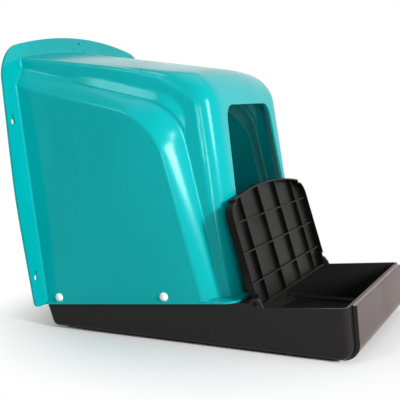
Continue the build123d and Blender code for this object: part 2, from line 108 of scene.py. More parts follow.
class NestHoodSizes(bpy.types.PropertyGroup):
    """Sizes of the moulded hood."""

    wall: length("Wall", 0.003, "Thickness of the moulding")
    half: length("Half width", SEAM_HALF, "Half width at the seam")
    depth: length("Depth", 0.2785, "Wall to the front of the spine, at the seam")
    tilt: angle("Side tilt", 3.3, "Both sides open upwards")
    roof_slope: angle("Roof slope", 17.8, "Fall of panel and shoulder to the front")
    panel_back: length("Panel height", 0.295, "Flat side panel at the wall")
    panel_front: length("Panel depth", 0.2345, "Flat side panel at the seam")
    panel_lean: angle("Panel lean", 9.7, "Front edge of the side panel")
    panel_corner: length("Panel corner", 0.040, "Round corner of the side panel")
    panel_edge: length("Panel edge", 0.0018, "Round between panel and band")
    band_swell: length("Band swell", 0.0020, "How far the band swells out along its middle")
    band_over: length("Band overlap", 0.003, "How far the band runs on inside the spine")
    shoulder_back: length("Shoulder height", 0.316, "Inner edge of the band at the wall")
    shoulder_front: length("Shoulder depth", 0.2555, "Inner edge of the band at the seam")
    shoulder_lean: angle("Shoulder lean", 8.8, "Inner edge of the band along the front")
    shoulder_corner: length("Shoulder corner", 0.034, "Round corner seen from the side")
    shoulder_edge: length("Shoulder edge", 0.002, "Round of the shoulder inside the spine")
    eave_back: length("Eave height", 0.3325, "Eaves of the spine at the wall")
    eave_slope: angle("Eave slope", 11.6, "Fall of the eaves")
    crown_back: length("Crown height", 0.3445, "Crown of the spine at the wall")
    crown_slope: angle("Crown slope", 12.3, "Fall of the crown")
    eave_in_back: length("Eave inset, back", 0.018, "Eaves in from the tilted side at the wall")
    eave_in_front: length("Eave inset, front", 0.040, "Eaves in from the tilted side at the front")
    ledge: length("Ledge width", 0.0062, "The lower flank stands out from the upper one")
    ledge_slant: angle("Ledge slant", 27.0, "Lean of the ledge between the two flanks")
    ledge_rise: length("Ledge rise", 0.001, "Foot of the ledge above the band's inner edge")
    ledge_corner: length("Ledge corner", 0.025, "Round of the ledge where it turns down the front")
    ledge_start: length("Ledge start", 0.035, "Depth at which the ledge begins")
    ledge_full: length("Ledge full", 0.115, "Depth from which the ledge is full")
    ledge_end: length("Ledge end", 0.252, "Height at which the ledge begins to run out")
    ledge_stop: length("Ledge stop", 0.208, "Height at which the ledge has run out")
    foot_in: length("Spine foot inset", 0.017, "Spine in from the side at the seam")
    front_lean: angle("Front lean", 4.0, "Front of the spine")
    front_round: length("Nose round", 0.035, "Round between roof and front")
    bow: length("Front bow", 0.0105, "How far the front curves back at its edges, at the seam")
    bow_lean: angle("Bow lean", 4.3, "How much more the edges of the front lean back")
    bow_start: length("Bow start", 0.100, "Half width of the flat middle of the front")
    bow_end: length("Bow end", 0.1303, "Half width at the edges of the front")
    corner_back: length("Eave round, back", 0.005, "Round of the eaves along the roof")
    corner_turn: length("Eave turn", 0.185, "Depth at which the eave round begins to widen")
    corner_front: length("Eave round, front", 0.046, "Round of the eaves at the nose")
    edge_round: length("Front edge round", 0.0008, "Upright edges of the front, half way up")
    crease: length("Crease round", 0.0013, "Hollow round along the spine's step")
    crease_back: length("Crease round, back", 0.009, "Hollow round of the step beside the flange")
    crease_start: length("Crease start", 0.03, "Depth at which the step's round begins to narrow")
    crease_end: length("Crease end", 0.10, "Depth from which the step's round is narrow")
    root_round: length("Flange root", 0.003, "Hollow round between hood and flange")
    door_sill: length("Door sill", 0.040, "Height of the sill")
    door_top: length("Door top", 0.2439, "Height of the lintel")
    door_half: length("Door half width", 0.0812, "Half width at the lintel")
    door_splay: angle("Door splay", 6.5, "Sides of the doorway open downwards")
    door_corner: length("Door corner", 0.020, "Corners of the doorway")
    rim_bevel: length("Rim bevel", 0.0008, "Softened edges of the moulding")


class NestFlangeSizes(bpy.types.PropertyGroup):
    """Sizes of the mounting flange and the seam lip."""

    thick: length("Thickness", FLANGE_THICK, "Thickness of the flange")
    half: length("Half width", FLANGE_HALF, "Half width above the knee")
    foot_half: length("Foot half width", SEAM_HALF + FLANGE_REACH, "Half width at the seam")
    knee: length("Knee", 0.150, "Height at which the sides turn upright")
    knee_round: length("Knee round", 0.030, "Stretch over which the sides turn")
    crown: length("Crown", 0.3645, "Height of the arched top")
    arch: length("Arch", 0.024, "Fall of the arched top to its ends")
    corner: length("Corner", 0.038, "Round upper corners")
    foot_round: length("Foot corner", 0.007, "Round lower corners")
    key_low: length("Lower keyhole", KEY_LOW, "Height of the lower keyholes")
    key_high: length("Upper keyhole", 0.248, "Height of the upper keyholes")
    key_edge: length("Keyhole margin", 0.012, "Keyholes in from the outer edge")
    key_head: length("Keyhole head", 0.004, "Radius of the head hole")
    key_slot: length("Keyhole slot", 0.002, "Half width of the slot")
    key_rise: length("Keyhole rise", 0.008, "Slot above the head hole")
    hole: length("Crown hole", 0.0022, "Radius of the hole at the crown")
    hole_drop: length("Crown hole drop", 0.008, "Hole below the crown")
    crease_gap: length("Crease gap", 0.014, "Creases each side of the crown hole")
    crease_half: length("Crease half width", 0.0011, "Half width of a crease")
    crease_length: length("Crease length", 0.016, "Length of a crease")
    lip_proud: length("Lip reach", 0.0035, "Seam lip past the sides")
    lip_thick: length("Lip thickness", 0.0026, "Thickness of the seam lip")
    lip_front: length("Lip depth", 0.2815, "Seam lip at the front")
    lip_corner: length("Lip corner", 0.020, "Plan corner of the seam lip")


class NestRivetSizes(bpy.types.PropertyGroup):
    """Sizes of the push rivets."""

    rear: length("Rear depth", 0.0238, "Rear rivets from the wall")
    front: length("Front depth", 0.1812, "Front rivets from the wall")
    height: length("Height", 0.0089, "Rivets above the seam")
    head: length("Head radius", 0.0058, "Radius of the cap")
    rim: length("Head rim", 0.0009, "Upright rim of the cap")
    dome: length("Head height", 0.0032, "Height of the cap")
    shank: length("Shank radius", 0.003, "Radius of the shank")
    reach: length("Shank length", 0.013, "Shank behind the cap")


class NestFinish(bpy.types.PropertyGroup):
    """Colours of the finishes."""

    teal: colour("Hood colour", (0.0, 0.385, 0.398), "Glossy moulded plastic of the hood")
    teal_deep: colour("Hood flow colour", (0.0, 0.350, 0.360), "Deeper tone of the flow marks")
    # Tub and lid are one black plastic in two colours: the tub's is lighter, painted light for its side
    # that gets little lamp light, and the lid's is darker, painted shade against the light its cells
    # catch.
    black: colour("Tub colour", (0.018, 0.0165, 0.0168), "Satin plastic of the tub")
    lid: colour("Lid colour", (0.0035, 0.0035, 0.0028), "Satin plastic of the lid")
    black_worn: colour("Rubbed colour", (0.026, 0.024, 0.023), "Rubbed patches on the satin plastic")
    slab: colour("Front colour", (0.020, 0.0168, 0.0165), "Satin plastic of the tray's front panel")
    bloom: colour("Front bloom", (1.0, 0.72, 0.66), "Tone of the front panel seen along its face")
    white: colour("Cap colour", (0.86, 0.88, 0.87), "Smooth plastic of the rivets")
    mat: colour("Mat colour", (0.010, 0.010, 0.010), "Matt plastic of the nest mat")
    dust: colour("Dust colour", (0.42, 0.40, 0.36), "Fine dust that settles on top")


class NestStage(bpy.types.PropertyGroup):
    """Camera and studio."""

    camera: bpy.props.FloatVectorProperty(
        name="Camera", default=(-1.10592, -0.43866, 0.31874), size=3, subtype="TRANSLATION",
        unit="LENGTH", description="Place of the camera",
    )
    heading: angle("Heading", -66.156, "Turn of the camera about the upright")
    pitch: angle("Pitch", -7.241, "Tilt of the camera, down is negative")
    lens: bpy.props.FloatProperty(
        name="Lens", default=77.21, description="Focal length on a 36 mm sensor", unit="CAMERA"
    )
    floor: length("Floor size", 7.0, "Edge of the square floor")
    floor_drop: length("Floor drop", 0.0004, "Floor below the foot of the box")
    paper_near: length("Paper near", 0.19, "Distance at which the paper begins to turn white")
    paper_far: length("Paper far", 0.38, "Distance from which the paper is plain white")
    ambient: share("Ambient", 0.12, "Brightness of the room's own light")


# Surfaces


def round_max(first, second, radius):
    """Two faces meeting in an outer corner with a round edge: their larger distance, and
    inside the corner strip the length of both overshoots taken together."""
    flat = np.minimum(np.maximum(first, second), -radius)
    return flat + np.hypot(np.maximum(first + radius, 0), np.maximum(second + radius, 0))


def round_min(first, second, radius):
    """Two bodies run together with a hollow round of this radius along their crease."""
    flat = np.maximum(np.minimum(first, second), radius)
    return flat - np.hypot(np.maximum(radius - first, 0), np.maximum(radius - second, 0))


def ease(value, start, end):
    """Smooth step from 0 at start to 1 at end."""
    t = np.clip((value - start) / (end - start), 0, 1)
    return t * t * (3 - 2 * t)


def blend(first, second, amount):
    """Straight from the first value to the second as the amount goes from 0 to 1."""
    return first + (second - first) * amount


def spaced(stops, steps):
    """Evenly spaced values between neighbouring stops, with a number of steps for each stretch."""
    marks = np.concatenate(([0], np.cumsum(steps)))
    return np.interp(np.arange(marks[-1] + 1), marks, stops)


def meet(form, start, reach):
    """Points where the form, negative inside, ends on the way from start along reach, found by
    halving the way again and again."""
    shape = np.broadcast_shapes(start.shape, reach.shape)[:-1]
    low = np.zeros(shape)
    high = np.ones(shape)
    for _ in range(HALVINGS):
        middle = (low + high) / 2
        inside = form(start + reach * middle[..., None]) < 0
        low = np.where(inside, middle, low)
        high = np.where(inside, high, middle)
    return start + reach * high[..., None]


def mirrored(left):
    """A grid of the left half, ending on the middle line, with its mirror image beside it."""
    right = left[:, -2::-1] * np.array((-1.0, 1.0, 1.0))
    return np.concatenate((left, right), axis=1)


def stand(points):
    """Points drawn as (across, depth, height) in the frame of the whole box."""
    axes = np.stack((ACROSS, FORWARD, UPWARD))
    return SEAM + points @ axes


class Patchwork:
    """Grids and rings of quads that are welded into one mesh."""

    def __init__(self):
        self.points = []
        self.quads = []
        self.count = 0

    def number(self, points):
        """Takes in a grid of points and gives each its number."""
        index = self.count + np.arange(points[..., 0].size).reshape(points.shape[:-1])
        self.points.append(points.reshape(-1, 3))
        self.count += index.size
        return index

    def cover(self, index, keep=None):
        """Quads between neighbouring rows and columns of a numbered grid."""
        quads = np.stack((index[:-1, :-1], index[:-1, 1:], index[1:, 1:], index[1:, :-1]), axis=-1)
        self.quads.append(quads.reshape(-1, 4) if keep is None else quads[keep])

    def grid(self, points):
        """Takes in a grid of points and covers it with quads."""
        self.cover(self.number(points))

    def build(self, name, outward):
        """Welds the grids and turns the face nearest to the first given point to the second."""
        mesh = bpy.data.meshes.new(name)
        points = np.concatenate(self.points)
        mesh.from_pydata(points.tolist(), [], np.concatenate(self.quads).tolist())
        work = bmesh.new()
        work.from_mesh(mesh)
        bmesh.ops.remove_doubles(work, verts=work.verts, dist=WELD)
        bmesh.ops.dissolve_degenerate(work, edges=work.edges, dist=WELD)
        work.to_mesh(mesh)
        work.free()
        centres = np.empty(3 * len(mesh.polygons))
        normals = np.empty(3 * len(mesh.polygons))
        mesh.polygons.foreach_get("center", centres)
        mesh.polygons.foreach_get("normal", normals)
        near, way = (np.array(value) for value in outward)
        nearest = np.argmin(np.linalg.norm(centres.reshape(-1, 3) - near, axis=1))
        if normals.reshape(-1, 3)[nearest] @ way < 0:
            mesh.flip_normals()
        mesh.shade_smooth()
        piece = bpy.data.objects.new(name, mesh)
        bpy.context.scene.collection.objects.link(piece)
        return piece


def finish_piece(piece, material, body, nodes=()):
    """Finish and body of a new piece, and the nodes that it stands for."""
    piece.data.materials.append(material)
    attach(piece, body)
    if nodes:
        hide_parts(*nodes)


def dress_node(name, material):
    """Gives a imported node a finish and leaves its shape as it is."""
    node = frame["nodes"][name]
    node.data.materials.clear()
    node.data.materials.append(material)


def soften(piece, width, limit=35.0):
    """Rounds the edges of a piece where its faces turn by more than the limit, in degrees."""
    edge = piece.modifiers.new("soft_edges", "BEVEL")
    edge.width = width
    edge.segments = 2
    edge.limit_method = "ANGLE"
    edge.angle_limit = math.radians(limit)
    edge.harden_normals = True


# Moulded hood

# The lines of the hood's grid: stops along a stretch, and the steps between one and the next.
ROW_TURNS = (0, 7, 40, 62, 90)  # rows, in degrees up from the seam
ROW_STEPS = (9, 56, 52, 32)
PANEL_STEPS = (3, 3, 13, 11, 7, 14, 3, 5)
BAND_LINES = (0, 0.15, 0.85, 1)  # columns, as shares of the way from line to line
BAND_STEPS = (5, 11, 5)
FLANK_LINES = (0, 0.1, 0.42, 1)
FLANK_STEPS = (3, 11, 7)
ROOF_LINES = (0, 0.06, 0.45, 0.94, 1)
ROOF_STEPS = (6, 12, 9, 6)
ROOT_STEPS = 6
FLANGE_STEPS = 12
OVERSHOOT = 1.4  # the search for the hood runs on past its guide points
FAN_START = 0.75  # share of the panel's height above which the flange's lines fan out

# Columns of the panel lie close together round the keyholes and below the panel's top.
LOW_KEY_ROOM = np.array((-0.011, 0.017))
HIGH_KEY_ROOM = np.array((-0.012, 0.018))
BETWEEN_KEYS = 0.19  # height of a line between the keyholes
PANEL_TOP_ROOM = 0.005

# Room in the grid round each hole, and the rings of quads that fill it.
DOOR_ROOM_HIGH = 0.009
DOOR_ROOM_WIDE = 0.006
DOOR_RINGS = 7
KEY_ROOM = 0.003
KEY_RINGS = 3
HOLE_COLUMNS = 4
HOLE_RINGS = 2

BOW_LIMIT = 0.95  # share of the bow's radius past which the front curves back no further

LIP_CENTRE = 0.86  # share of the hood's depth from which the lip's lines fan out
LIP_INSIDE = 0.6  # share of the wall that the lip reaches into
LIP_SHELF = 0.45  # share of the lip's width at which its fillet begins
LIP_FILLET = 1.9  # height of the fillet, in thicknesses of the lip
LIP_CLEAR = 0.0002  # fillet's upper edge off the wall

CREASE_LINES = 25
CREASE_SIDES = 16
CREASE_POWER = 6  # a higher power keeps a crease full for longer


def falling_top(depth, height, at_wall, slope):
    """Distance above a top that falls to the front."""
    return (height - at_wall + depth * math.tan(slope)) * math.cos(slope)


def leaning_front(depth, height, at_seam, lean):
    """Distance ahead of a front that leans back."""
    return (depth - at_seam + height * math.tan(lean)) * math.cos(lean)


def panel_outline(hood, depth, height):
    """Flat side panel seen from the side: a falling top, a leaning front and a round corner."""
    return round_max(
        falling_top(depth, height, hood.panel_back, hood.roof_slope),
        leaning_front(depth, height, hood.panel_front, hood.panel_lean),
        hood.panel_corner,
    )


def shoulder_outline(hood, depth, height, corner=None):
    """Inner edge of the band seen from the side, above the panel and ahead of it."""
    return round_max(
        falling_top(depth, height, hood.shoulder_back, hood.roof_slope),
        leaning_front(depth, height, hood.shoulder_front, hood.shoulder_lean),
        corner or hood.shoulder_corner,
    )


def side_half(hood, height):
    """Half width over the side panels, which open upwards."""
    return hood.half + height * math.tan(hood.tilt)


def eave_height(hood, depth):
    """Height of the spine's eaves, which fall to the front."""
    return hood.eave_back - depth * math.tan(hood.eave_slope)


def eave_half(hood, depth):
    """Half width at the eaves: in from the tilted side by an inset that grows to the front."""
    inset = blend(hood.eave_in_back, hood.eave_in_front, depth / hood.depth)
    return side_half(hood, eave_height(hood, depth)) - inset


def flank_half(hood, depth, height):
    """Half width of the spine: straight from its foot at the seam to its eaves."""
    foot = hood.half - hood.foot_in
    return foot + (eave_half(hood, depth) - foot) * height / eave_height(hood, depth)


def ledge_width(hood, depth, height):
    """The ledge widens from nothing near the wall and runs out again down the front."""
    begun = ease(depth, hood.ledge_start, hood.ledge_full)
    return hood.ledge * begun * ease(height, hood.ledge_stop, hood.ledge_end)


def spine_side(hood, x, depth, height):
    """Side of the spine: the flank, and beside its foot a lower flank that stands out from it
    by the ledge's width and is closed by the slanted ledge."""
    flank = np.abs(x) - flank_half(hood, depth, height)
    lower = flank - ledge_width(hood, depth, height)
    above = shoulder_outline(hood, depth, height, hood.ledge_corner) - hood.ledge_rise
    ledge = lower * math.cos(hood.ledge_slant) + above * math.sin(hood.ledge_slant)
    return np.minimum(np.maximum(lower, ledge), flank)


def band_form(hood, x, depth, height):
    """The flat side panel and a band that rises from the panel's outline to the shoulder's
    while it runs in to the spine, swelling out along its middle as a parabola."""
    side = side_half(hood, height)
    inward = (side - np.abs(x)) * math.cos(hood.tilt)
    run = side - flank_half(hood, depth, height) - ledge_width(hood, depth, height) + hood.band_over
    panel = panel_outline(hood, depth, height)
    rise = (panel - shoulder_outline(hood, depth, height)) / run
    across = np.clip(inward / run, 0, 1)
    swell = 4 * hood.band_swell * across * (1 - across)
    band = (panel - rise * inward) / np.hypot(1, rise) - swell
    return round_max(-inward, band, hood.panel_edge)


def shoulder_form(hood, x, depth, height):
    """Wide body: side panel and band, closed by the shoulder."""
    shoulder = shoulder_outline(hood, depth, height)
    return round_max(band_form(hood, x, depth, height), shoulder, hood.shoulder_edge)


def bow_at_edge(hood, height):
    """How far the front has curved back at its edges, which is more higher up."""
    return hood.bow + height * math.tan(hood.bow_lean)


def front_form(hood, x, depth, height):
    """Front that leans back, flat in the middle and curving back beside it on a circle
    through the point that the bow gives for its edge."""
    wide = hood.bow_end - hood.bow_start
    deep = bow_at_edge(hood, height)
    radius = (wide * wide + deep * deep) / (2 * deep)
    past = np.clip(np.abs(x) - hood.bow_start, 0, radius * BOW_LIMIT)
    left = np.sqrt(radius * radius - past * past)
    ahead = leaning_front(depth, height, hood.depth - radius + left, hood.front_lean)
    return ahead * left / radius


def spine_form(hood, x, depth, height):
    """Raised middle body: an arched roof, a bowed leaning front and nearly upright flanks.
    The round between front and flank is small half way up and wide at the nose."""
    eave = eave_height(hood, depth)
    crown = hood.crown_back - depth * math.tan(hood.crown_slope)
    arch = (crown - eave) * (x / eave_half(hood, depth)) ** 2
    roof = (height - crown + arch) * math.cos(hood.crown_slope)
    front = front_form(hood, x, depth, height)
    top_round = blend(hood.corner_back, hood.corner_front, ease(depth, hood.corner_turn, hood.depth))
    edge = blend(hood.edge_round, top_round, ease(roof - front, -hood.front_round, hood.front_round))
    flank = spine_side(hood, x, depth, height)
    return round_max(round_max(roof, front, hood.front_round), flank, edge)


def hood_form(hood, points):
    """Both bodies of the hood run together with a hollow round, wider beside the flange."""
    x, depth, height = np.moveaxis(points, -1, 0)
    crease = blend(hood.crease_back, hood.crease, ease(depth, hood.crease_start, hood.crease_end))
    shoulder = shoulder_form(hood, x, depth, height)
    return round_min(shoulder, spine_form(hood, x, depth, height), crease)


def spine_outline(hood, depth, height, at_wall, slope, bow=0.0):
    """Spine seen from the side: a falling top and a leaning front that meet in the nose."""
    top = falling_top(depth, height, at_wall, slope)
    front = leaning_front(depth, height, hood.depth - bow, hood.front_lean)
    return round_max(top, front, hood.front_round)


def hood_guides(hood, flange, rays, axis):
    """Left half of the hood's grid, roughly placed. Each row lies in a plane through the axis
    where seam and flange meet. From its pole on the seam a row runs up the side panel, over
    the band, the shoulder and the flank of the spine, and in to the middle line."""

    def guide(outline, half):
        """Where each row crosses an outline of the side view, at the half width it has there."""
        hit = meet(lambda p: outline(p[..., 1], p[..., 2]), axis, rays * RAY)
        depth, height = hit[:, 1], hit[:, 2]
        return np.stack((-half(depth, height), depth, height), axis=-1)

    panel = guide(lambda d, h: panel_outline(hood, d, h), lambda d, h: side_half(hood, h))
    crease = guide(
        lambda d, h: shoulder_outline(hood, d, h),
        lambda d, h: flank_half(hood, d, h) + ledge_width(hood, d, h),
    )
    eave = guide(
        lambda d, h: spine_outline(hood, d, h, hood.eave_back, hood.eave_slope, bow_at_edge(hood, h)),
        lambda d, h: flank_half(hood, d, h),
    )
    crown = guide(
        lambda d, h: spine_outline(hood, d, h, hood.crown_back, hood.crown_slope),
        lambda d, h: np.zeros_like(d),
    )

    pole = axis + np.array((-hood.half, 0.0, 0.0))
    top = hood.panel_back
    stops = np.array((
        0, flange.foot_round, *(flange.key_low + LOW_KEY_ROOM), BETWEEN_KEYS,
        *(flange.key_high + HIGH_KEY_ROOM), top - PANEL_TOP_ROOM, top,
    ))
    shares = spaced(stops / top, PANEL_STEPS)
    columns = [blend(pole, panel[:, None], shares[:, None])]
    for start, end, marks in (
        (panel, crease, spaced(BAND_LINES, BAND_STEPS)),
        (crease, eave, spaced(FLANK_LINES, FLANK_STEPS)),
        (eave, crown, spaced(ROOF_LINES, ROOF_STEPS)),
    ):
        columns.append(blend(start[:, None], end[:, None], marks[1:, None]))
    return np.concatenate(columns, axis=1)


def hood_grid(hood, flange):
    """Grid of the hood's outer face: the guide points, moved along lines through the axis
    until they lie on the form."""
    turns = np.radians(spaced(ROW_TURNS, ROW_STEPS))
    rays = np.stack((np.zeros_like(turns), np.cos(turns), np.sin(turns)), axis=-1)
    axis = np.array((0.0, flange.thick + hood.root_round, 0.0))
    guides = hood_guides(hood, flange, rays, axis)
    left = meet(lambda p: hood_form(hood, p), axis, (guides - axis) * OVERSHOOT)
    left[:, -1, 0] = 0
    return mirrored(left)


def flange_lean(flange):
    """How much wider the flange is on each side for every metre up to the knee."""
    return (flange.half - flange.foot_half) / flange.knee


def flange_form(flange, points):
    """Flat flange seen from the front: sides that lean in below the knee, an arched top,
    round corners above and at the foot."""
    x, height = points[..., 0], points[..., 2]
    below = flange.knee - height
    drawn_in = flange_lean(flange) * (below + np.sqrt(below * below + flange.knee_round ** 2)) / 2
    side = np.abs(x) - flange.half + drawn_in
    top = height - flange.crown + flange.arch * (x / flange.half) ** 2
    return round_max(round_max(side, top, flange.corner), -height - WELD, flange.foot_round)


def flange_grid(hood, flange, outline):
    """Continues the hood's back outline: a quarter round out of the wall, then straight out
    to the flange's edge, level beside the hood and fanning out above it."""
    along = np.gradient(outline[:, (0, 2)], axis=0)
    out = np.stack((-along[:, 1], np.zeros(len(along)), along[:, 0]), axis=-1)
    out /= np.linalg.norm(out, axis=1, keepdims=True)
    out[0] = -ACROSS
    out[-1] = ACROSS
    turn = np.radians(np.linspace(0, 90, ROOT_STEPS + 1))[:, None, None]
    wall = np.array((0.0, 1.0, 0.0))
    root = outline + hood.root_round * (out * (1 - np.cos(turn)) - wall * np.sin(turn))
    start = root[-1]
    level = np.minimum(start[:, 2], hood.panel_back * FAN_START)
    centre = np.stack((np.zeros_like(level), start[:, 1], level), axis=-1)
    reach = start - centre
    reach *= RAY / np.linalg.norm(reach, axis=1, keepdims=True)
    rim = meet(lambda p: flange_form(flange, p), centre, reach)
    steps = np.linspace(0, 1, FLANGE_STEPS + 1)[1:, None, None]
    return np.concatenate((root, blend(start, rim, steps)))


def door_half_at(hood, height):
    """Half width of the doorway, which opens downwards."""
    return hood.door_half + (hood.door_top - height) * math.tan(hood.door_splay)


def door_form(hood, points):
    """Doorway: sides that open downwards, a level sill and lintel, round corners."""
    x, height = points[..., 0], points[..., 2]
    side = (np.abs(x) - door_half_at(hood, height)) * math.cos(hood.door_splay)
    top = round_max(side, height - hood.door_top, hood.door_corner)
    return round_max(top, hood.door_sill - height, hood.door_corner)


def keyhole_form(flange, x, height, points):
    """Round head hole with a slot above it that ends in a half round."""
    across = points[..., 0] - x
    above = points[..., 2] - height
    head = np.hypot(across, above) - flange.key_head
    slot = np.hypot(across, above - np.clip(above, 0, flange.key_rise)) - flange.key_slot
    return np.minimum(head, slot)


class PiercedGrid(Patchwork):
    """A grid of quads that holes are cut into."""

    def __init__(self, points):
        super().__init__()
        self.lattice = points
        self.index = self.number(points)
        self.keep = np.ones(np.subtract(self.index.shape, 1), dtype=bool)
        self.middle = points.shape[1] // 2

    def cut(self, rows, columns, centre, form, settle, rings):
        """Leaves a block of quads out and fills it with rings that run from the block's edge to
        the hole: a ring's points lie on straight lines from the edge towards the centre."""
        (low, high), (first, last) = rows, columns
        self.keep[low:high, first:last] = False
        loop = np.concatenate((
            self.index[low, first:last], self.index[low:high, last],
            self.index[high, last:first:-1], self.index[high:low:-1, first],
        ))
        edge = self.points[0][loop] * np.array((1.0, 0.0, 1.0))
        middle = np.array((centre[0], 0.0, centre[1]))
        hole = meet(form, middle, edge - middle)
        marks = np.linspace(0, 1, rings + 1)[1:, None, None]
        inner = self.number(settle(blend(edge, hole, marks)))
        rounds = np.concatenate((loop[None], inner))
        self.cover(np.concatenate((rounds, rounds[:, :1]), axis=1))


def block_round(values, low, high):
    """First and last line of a block that spans from low to high, one line wider."""
    inside = np.flatnonzero((values > low) & (values < high))
    return inside[0] - 1, inside[-1] + 1


def cut_doorway(skin, hood, body_rows):
    """Cuts the doorway out of the hood's rows. The rings round it lie on the hood's front."""

    def on_front(flat):
        """Moves flat points forward onto the hood's front."""
        ahead = np.array((0.0, hood.depth, 0.0))
        return meet(lambda p: hood_form(hood, p), flat + ahead / 2, ahead)

    height = skin.lattice[:body_rows, skin.middle, 2]
    low, high = block_round(height, hood.door_sill - DOOR_ROOM_HIGH, hood.door_top + DOOR_ROOM_HIGH)
    rows = (low, min(high, body_rows - 1))
    sill_row = np.abs(height - hood.door_sill).argmin()
    half = door_half_at(hood, hood.door_sill) + DOOR_ROOM_WIDE
    columns = block_round(skin.lattice[sill_row, :, 0], -half, half)
    centre = (0.0, (hood.door_sill + hood.door_top) / 2)
    skin.cut(rows, columns, centre, lambda p: door_form(hood, p), on_front, DOOR_RINGS)


def on_flange(flange):
    """Gives what moves flat points onto the front face of the flange."""
    return lambda flat: flat + np.array((0.0, flange.thick, 0.0))


def cut_keyhole(skin, flange, first_row, height, side):
    """Cuts a keyhole beside the flange's edge, out of the rows that pass it and the columns
    that end on the rim at its height."""
    edge = flange.half - max(0, flange.knee - height) * flange_lean(flange)
    x = side * (edge - flange.key_edge)
    start = 0 if side < 0 else skin.middle
    rim = skin.lattice[-1, start:start + skin.middle + 1]
    column = start + np.abs(rim[:, 2] - height).argmin()
    out = np.abs(skin.lattice[first_row:, column, 0])
    reach = flange.key_head + KEY_ROOM
    low, high = block_round(out, abs(x) - reach, abs(x) + reach)
    rows = (first_row + low, first_row + min(high, len(out) - 1))
    beside = np.where(np.abs(rim[:, 0]) > abs(x), rim[:, 2], -1)
    first, last = block_round(beside, height - reach, height + flange.key_rise + reach)
    skin.cut(
        rows, (start + first, start + last), (x, height + flange.key_slot),
        lambda p: keyhole_form(flange, x, height, p), on_flange(flange), KEY_RINGS,
    )


def cut_crown_hole(skin, flange, first_row):
    """Cuts the round hole out of the middle of the flange, below its crown."""
    height = flange.crown - flange.hole_drop
    rise = skin.lattice[first_row:, skin.middle, 2]
    low, high = block_round(rise, height - 2 * flange.hole, height + 2 * flange.hole)
    skin.cut(
        (first_row + low, first_row + high), (skin.middle - HOLE_COLUMNS, skin.middle + HOLE_COLUMNS),
        (0.0, height), lambda p: np.hypot(p[..., 0], p[..., 2] - height) - flange.hole,
        on_flange(flange), HOLE_RINGS,
    )


def hood_mesh(hood, flange):
    """Outer face of the hood and its flange as one grid, with the doorway, the keyholes and
    the crown hole cut out of it."""
    body = hood_grid(hood, flange)
    rim = flange_grid(hood, flange, body[-1])
    skin = PiercedGrid(np.concatenate((body, rim[1:])))
    cut_doorway(skin, hood, len(body))
    first_row = len(body) + ROOT_STEPS
    for height in (flange.key_low, flange.key_high):
        for _, side in SIDES:
            cut_keyhole(skin, flange, first_row, height, side)
    cut_crown_hole(skin, flange, first_row)
    skin.cover(skin.index, skin.keep)
    skin.points = [stand(block) for block in skin.points]
    return skin.build("hood_skin", (stand(body[-1, skin.middle]), UPWARD))


def lip_mesh(hood, flange):
    """Thin ledge along the seam: a flat section with a fillet above it, carried round the
    hood's lower edge, from just inside the wall out to a plan with round front corners."""
    foot = hood_grid(hood, flange)[0]
    back = np.array((0.0, flange.thick, 0.0))
    foot = np.concatenate((foot[:1] - back, foot, foot[-1:] - back))
    centre = foot * np.array((0.0, 1.0, 0.0))
    centre[:, 1] = np.minimum(centre[:, 1], hood.depth * LIP_CENTRE)
    way = (foot - centre) / np.linalg.norm(foot - centre, axis=1, keepdims=True)

    def plan(p):
        """The lip's outer edge seen from above."""
        side = np.abs(p[..., 0]) - hood.half - flange.lip_proud
        return round_max(side, p[..., 1] - flange.lip_front, flange.lip_corner)

    outer = meet(plan, centre, way * RAY)
    inner = foot - way * hood.wall * LIP_INSIDE
    rise = np.array((0.0, 0.0, flange.lip_thick))
    shelf = blend(foot, outer, LIP_SHELF) + rise
    fillet = foot + way * LIP_CLEAR + rise * LIP_FILLET
    ring = np.stack((inner, outer, outer + rise, shelf, fillet, inner + rise * LIP_FILLET))
    work = Patchwork()
    work.grid(stand(np.concatenate((ring, ring[:1]))))
    for end in (0, -1):
        cap = ring[:, end]
        work.grid(stand(np.stack((cap[:3], cap[:2:-1]))))
    middle = len(foot) // 2
    return work.build("seam_lip", (stand(outer[middle] + rise / 2), FORWARD))


def crease_mesh(flange):
    """Two short raised creases beside the crown hole: a round section carried along a line
    and drawn in to nothing at both ends, late and quickly."""
    work = Patchwork()
    along = np.linspace(-1, 1, CREASE_LINES)[:, None]
    turn = np.radians(np.linspace(0, 360, CREASE_SIDES + 1))[None]
    radius = flange.crease_half * np.sqrt(np.clip(1 - along ** CREASE_POWER, 0, 1))
    middle = flange.crown - flange.hole_drop - flange.crease_length / 4
    for _, side in SIDES:
        work.grid(stand(np.stack(np.broadcast_arrays(
            side * flange.crease_gap + radius * np.cos(turn),
            flange.thick + radius * np.sin(turn),
            middle + flange.crease_length / 2 * along,
        ), axis=-1)))
    front = stand(np.array((flange.crease_gap, flange.thick + flange.crease_half, middle)))
    return work.build("crown_creases", (front, FORWARD))


class NESTBOX_OT_hood(bpy.types.Operator):
    """Builds the one-piece hood with doorway and flange, its seam lip and its crown creases"""

    bl_idname = "nestbox.hood"
    bl_label = "Moulded hood"

    def execute(self, context):
        hood = context.scene.nest_hood
        flange = context.scene.nest_flange
        material = hood_plastic(context.scene.nest_finish)
        skin = hood_mesh(hood, flange)
        wall = skin.modifiers.new("wall", "SOLIDIFY")
        wall.thickness = hood.wall
        wall.offset = -1
        wall.use_even_offset = True
        wall.use_quality_normals = True
        soften(skin, hood.rim_bevel, limit=50)
        finish_piece(skin, material, "box", ("hood_shell",))
        lip = lip_mesh(hood, flange)
        soften(lip, hood.rim_bevel)
        finish_piece(lip, material, "box")
        finish_piece(crease_mesh(flange), material, "box")
        return {"FINISHED"}


# Push rivets

RIVET_SIDES = 48
DOME_STEPS = 12
DOME_POWER = 2.4  # a higher power makes a flatter dome
CHAMFER = 0.3  # share of the shank's radius that is cut off its tip
RIM_STRAIGHT = 0.6  # share of the rim's height that stands upright


